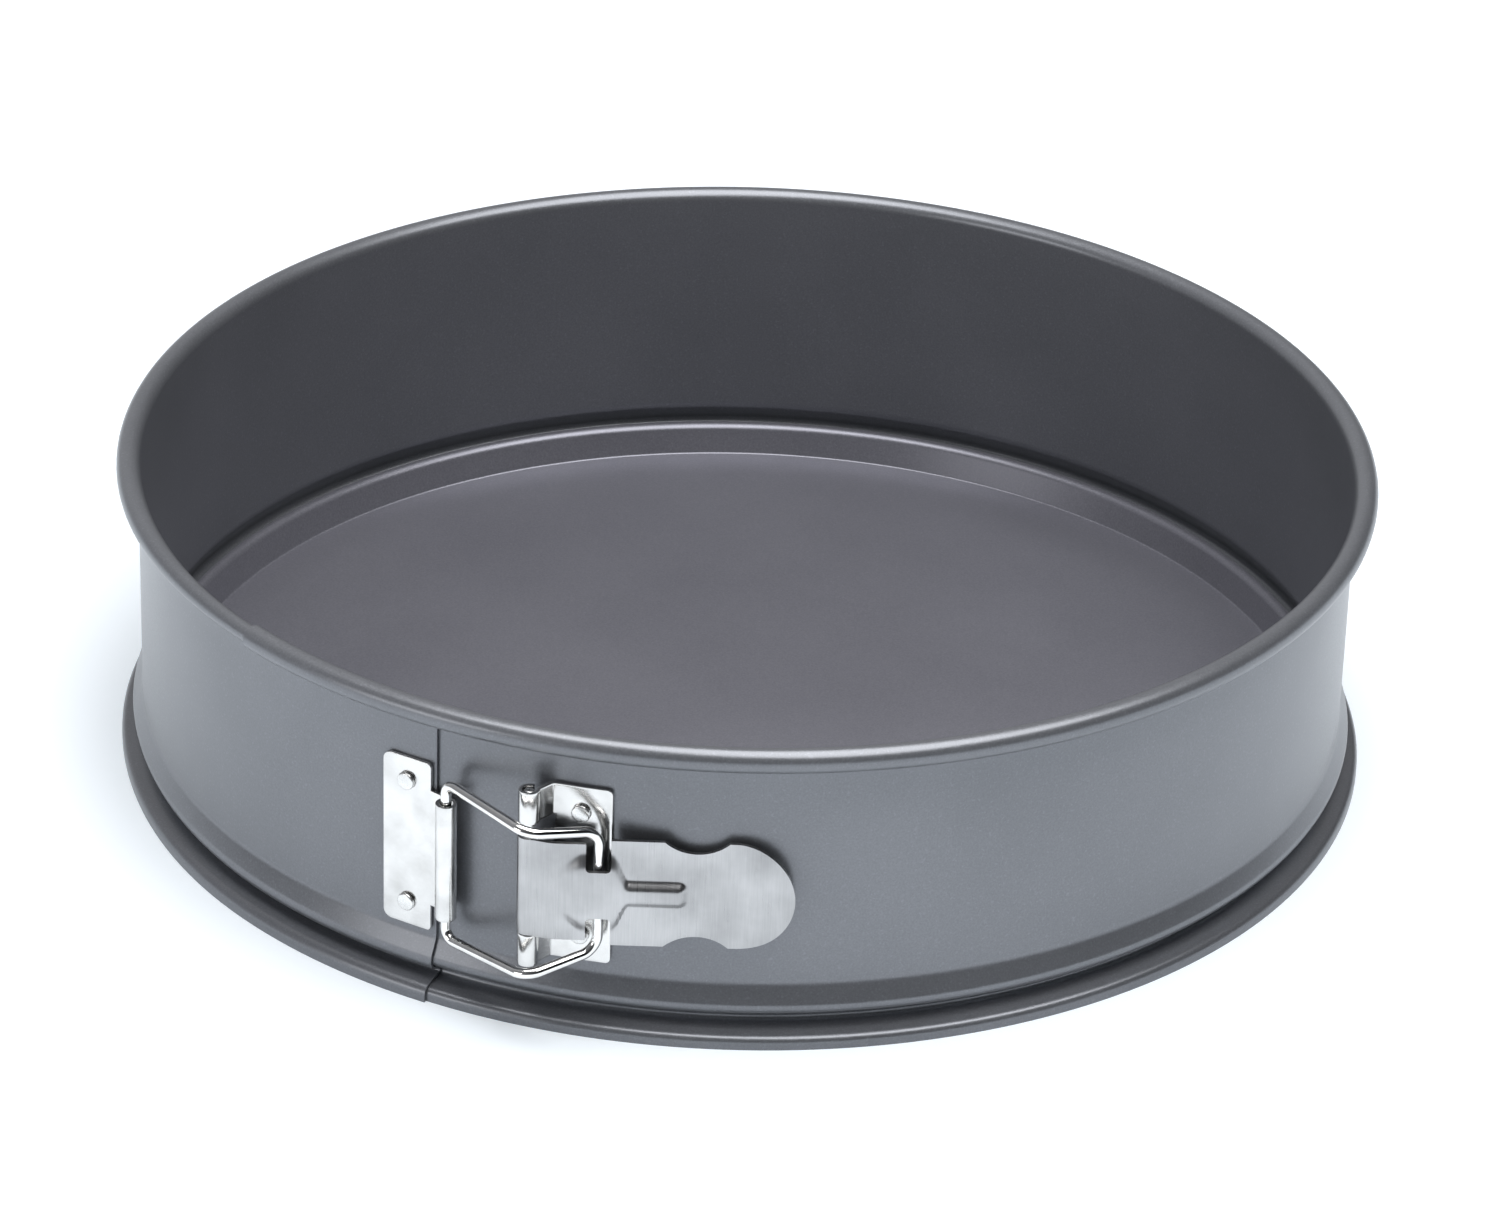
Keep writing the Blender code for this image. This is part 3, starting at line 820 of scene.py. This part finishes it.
neckBulge = sheetSettings["wire"] / 2 + leverSettings["bulgeSpare"]
seatX = pinAxis.x + leverSettings["seatReach"]
seatY = (leverPlane - neckBulge + leverSettings["sheet"] / 2
         + sheetSettings["running"] + sheetSettings["wire"] / 2)
notchStart = seatX - leverSettings["notchWidth"] / 2
notchEnd = seatX + leverSettings["notchWidth"] / 2
scallopStart = notchEnd + leverSettings["shoulder"]
scallopEnd = scallopStart + leverSettings["scallopWidth"]
tipRadius = leverSettings["handleHeight"] / 2
tipCentre = scallopEnd + leverSettings["tipShoulder"]
tipEnd = tipCentre + tipRadius
leverRollEnd = math.radians(leverSettings["rollEnd"])
rollLeaves = Vector((pinAxis.x + leverRoll * math.cos(leverRollEnd),
                     pinAxis.y + leverRoll * math.sin(leverRollEnd)))


def leverHalf(x):                # half the lever's height at a place along it
    half = leverSettings["hingeHeight"] / 2
    wide = leverSettings["handleHeight"] / 2
    if x <= scallopStart:
        return half + (wide - half) * smooth((x - notchStart) / leverSettings["notchWidth"])
    if x < scallopEnd:
        depth = leverSettings["scallopDepth"]
        chord = leverSettings["scallopWidth"] / 2
        radius = (chord ** 2 + depth ** 2) / (2 * depth)
        across = x - (scallopStart + scallopEnd) / 2
        return wide + radius - depth - math.sqrt(radius ** 2 - across ** 2)
    return math.sqrt(max(0, tipRadius ** 2 - max(0, x - tipCentre) ** 2))


def leverRelief(x, away):        # how far the sheet is pressed outwards
    sizes = leverSettings
    rising = smooth((x - notchStart + sizes["bulgeRun"]) / sizes["bulgeRun"])
    narrow = smooth((x - notchEnd) / sizes["ribRun"])
    neck = sizes["neckHeight"] / 2 + sizes["neckMargin"]
    spread = sizes["neckStart"] + (1 - sizes["neckStart"]) * rising
    half = (neck + (sizes["ribHalf"] - neck) * narrow) * spread
    side = sizes["neckSide"] + (sizes["ribSide"] - sizes["neckSide"]) * narrow
    past = max(0, x - seatX - sizes["ribLength"] + half + side)
    outside = math.hypot(past, max(0, away - half)) if narrow > 0 else max(0, away - half)
    across = smooth((side - outside) / side)
    lift = sizes["tipLift"] * smooth((x - tipCentre) / (tipEnd - tipCentre))
    return neckBulge * rising * across + lift


def leverColumns():              # from the roll to the tip, seen from above
    sizes = leverSettings
    columns = arcPoints(pinAxis, leverRoll, sizes["rollStart"], sizes["rollEnd"], sizes["rollSteps"] + 1)
    flat = spacedThrough([rollLeaves.x, notchStart, notchEnd, scallopStart], sizes["columnStep"])
    flat += [scallopStart] + spaced(scallopStart, scallopEnd, sizes["scallopStep"])
    flat += [scallopEnd, tipCentre]
    steps = sizes["tipSteps"]
    flat += [tipCentre + tipRadius * math.sin(math.pi / 2 * i / steps) for i in range(1, steps)]
    flat += [tipEnd - sizes["tipFlat"]]
    for x in flat:
        rise = smooth((x - rollLeaves.x) / sizes["leadIn"])
        columns.append((x, rollLeaves.y + (leverPlane - rollLeaves.y) * rise))
    return columns


def makeLever(sizes):
    columns = leverColumns()
    half = sizes["hingeHeight"] / 2
    piece = startPoint("leverHandle", Vector((*columns[0], claspHeight - half)))
    bpy.ops.mesh.extrude_region_move(TRANSFORM_OT_translate={"value": (0, 0, 2 * half)})
    selectAll()
    bpy.ops.mesh.subdivide(number_cuts=sizes["rows"] - 1)
    for before, after in zip(columns, columns[1:]):
        step = (after[0] - before[0], after[1] - before[1], 0)
        bpy.ops.mesh.extrude_region_move(TRANSFORM_OT_translate={"value": step})
        wanted = leverHalf(after[0])
        if wanted != half:
            bpy.ops.transform.resize(value=(1, 1, wanted / half),
                                     center_override=(after[0], after[1], claspHeight))
            half = wanted
    faceOutward()
    objectMode()
    highest = max(sizes["tipLift"], neckBulge)
    group = piece.vertex_groups.new(name="pressed")
    for vertex in piece.data.vertices:
        if vertex.co.x > rollLeaves.x + touching and vertex.co.y < pinAxis.y:
            relief = leverRelief(vertex.co.x, abs(vertex.co.z - claspHeight))
            group.add([vertex.index], relief / highest, "REPLACE")
    press = piece.modifiers.new("pressed", "DISPLACE")
    press.direction = "Y"
    press.mid_level = 0
    press.strength = -highest
    press.vertex_group = "pressed"
    applyModifiers(piece)
    thicken(piece, sizes["sheet"])
    return piece


def cutNotch(piece, side):       # the bail's wire lies in it
    sizes = leverSettings
    shallow = claspHeight + side * sizes["neckHeight"] / 2
    deep = claspHeight + side * sizes["handleHeight"]
    deselectAll()
    bpy.ops.mesh.primitive_cube_add(size=1, location=(seatX, leverPlane, (shallow + deep) / 2))
    cutter = bpy.context.object
    cutter.scale = (sizes["notchWidth"], sizes["notchCut"], abs(deep - shallow))
    applyPlace(cutter)
    selectEdges(cutter, lambda p: abs(p.z - shallow) < touching)
    objectMode()
    for edge in cutter.data.edges:
        ends = [cutter.data.vertices[i].co for i in edge.vertices]
        edge.select = edge.select and abs(ends[0].x - ends[1].x) < touching
    bpy.ops.object.mode_set(mode="EDIT")
    bpy.ops.mesh.bevel(offset=sizes["notchCorner"], segments=sizes["notchRows"])
    objectMode()
    cut = piece.modifiers.new("notch", "BOOLEAN")
    cut.operation = "DIFFERENCE"
    cut.solver = "EXACT"
    cut.object = cutter
    applyModifiers(piece)
    bpy.data.objects.remove(cutter, do_unlink=True)


lever = makeLever(leverSettings)
cutNotch(lever, 1)
cutNotch(lever, -1)
roundEdges(lever, leverSettings["edge"], angle=50)
finishPiece(lever, leverNickel, "lever", "lever_nickel", "lever")


# bail: a closed loop of wire through the barrel, over the pin and behind the lever's neck

bailSettings = {
    "heightAtBarrel": 36.2 * mm,
    "heightAtArch": 32.8 * mm,
    "heightAtSeat": 27.2 * mm,
    "archReach": 9.3 * mm,
    "bends": (2.6 * mm, 4.5 * mm, 4.0 * mm),     # at the barrel, the arch and the seat
    "bendRows": 12,
    "roundness": 8,
}


def makeBail(sizes):
    stations = [
        (bailAxis.x, bailAxis.y, sizes["heightAtBarrel"] / 2),
        (pinAxis.x, pinAxis.y - sizes["archReach"], sizes["heightAtArch"] / 2),
        (seatX, seatY, sizes["heightAtSeat"] / 2),
    ]
    corners = [Vector((x, y, claspHeight + half)) for x, y, half in stations]
    corners += [Vector((x, y, claspHeight - half)) for x, y, half in reversed(stations)]
    bends = list(sizes["bends"]) + list(reversed(sizes["bends"]))
    piece = startPoint("wireBail", corners[0])
    extrudeTo(corners)
    ends = (corners[0], corners[-1])
    selectVertices(piece, lambda p: min((p - end).length for end in ends) < touching)
    bpy.ops.mesh.edge_face_add()
    for i, (corner, bend) in enumerate(zip(corners, bends)):
        back = corners[i - 1] - corner
        ahead = corners[(i + 1) % len(corners)] - corner
        reach = bend / math.tan(back.angle(ahead) / 2)
        selectVertices(piece, lambda p: (p - corner).length < touching)
        bpy.ops.mesh.bevel(offset=reach, segments=sizes["bendRows"], affect="VERTICES")
    pickOnly(piece)
    bpy.ops.object.convert(target="CURVE")
    piece.data.bevel_depth = sheetSettings["wire"] / 2
    piece.data.bevel_resolution = sizes["roundness"]
    bpy.ops.object.convert(target="MESH")
    return bpy.context.object


bail = makeBail(bailSettings)
finishPiece(bail, wireNickel, "bail", "wire_nickel", "bail", angle=60)


# floor and light

stageSettings = {
    "floorSize": 8.0,
    "floorColour": (0.76, 0.80, 0.84, 1),
    "floorRoughness": 0.9,
    "floorGlow": 0.32,
    "floorGlowColour": (0.9, 0.96, 1, 1),
    "worldStrength": 1.0,
    "worldFront": (0.10, 0.102, 0.108),      # the dark side of the room, behind the camera
    "worldSide": (0.26, 0.265, 0.28),
    "worldBack": (0.5, 0.5, 0.51),
    "worldLeft": (1, 1, 1),
    "worldRight": (0.06, 0.06, 0.066),
    "lightAim": (0, 0, 0.03),
}
softboxSettings = {
    "keyLeft": {"place": (-1.3, -1.0, 0.4), "size": (0.8, 0.5), "power": 4},
    "overhead": {"place": (0.12, -0.1, 1.05), "size": (1.0, 1.15), "power": 19},
}


def addFloor(settings):
    deselectAll()
    bpy.ops.mesh.primitive_plane_add(size=settings["floorSize"], location=(0, 0, 0))
    floor = bpy.context.object
    floor.name = "studioFloor"
    material = bpy.data.materials.new("floorPaper")
    material.use_nodes = True
    shader = material.node_tree.nodes["Principled BSDF"]
    shader.inputs["Base Color"].default_value = settings["floorColour"]
    shader.inputs["Roughness"].default_value = settings["floorRoughness"]
    shader.inputs["Emission Color"].default_value = settings["floorGlowColour"]
    shader.inputs["Emission Strength"].default_value = settings["floorGlow"]
    floor.data.materials.append(material)


def addSoftbox(name, settings, aim):
    deselectAll()
    bpy.ops.object.light_add(type="AREA", location=settings["place"])
    light = bpy.context.object
    light.name = name
    light.data.shape = "RECTANGLE"
    light.data.size, light.data.size_y = settings["size"]
    light.data.energy = settings["power"]
    light.rotation_mode = "QUATERNION"
    light.rotation_quaternion = (Vector(aim) - Vector(settings["place"])).to_track_quat("-Z", "Y")


def addWorld(settings):          # dark in front, pale behind the pan
    world = bpy.data.worlds.new("studio")
    world.use_nodes = True
    tree = world.node_tree
    coordinates = tree.nodes.new("ShaderNodeTexCoord")
    split = tree.nodes.new("ShaderNodeSeparateXYZ")
    tree.links.new(coordinates.outputs["Generated"], split.inputs["Vector"])
    toBack = addRange(tree, split.outputs["Y"], 0, 1, fromLow=-1, fromHigh=1)
    stops = [(0.05, settings["worldFront"]), (0.5, settings["worldSide"]), (0.9, settings["worldBack"])]
    colour = addRamp(tree, toBack, stops)
    toRight = addRange(tree, split.outputs["X"], 0, 1, fromLow=-1, fromHigh=1)
    sides = addRamp(tree, toRight, [(0.3, settings["worldLeft"]), (0.8, settings["worldRight"])])
    colour = addMix(tree, 1.0, colour, sides, "MULTIPLY")
    background = tree.nodes["Background"]
    background.inputs["Strength"].default_value = settings["worldStrength"]
    tree.links.new(colour, background.inputs["Color"])
    bpy.context.scene.world = world


bpy.context.scene.view_settings.view_transform = "Standard"
addFloor(stageSettings)
addWorld(stageSettings)
for name, settings in softboxSettings.items():
    addSoftbox(name, settings, stageSettings["lightAim"])
print("stage lit")
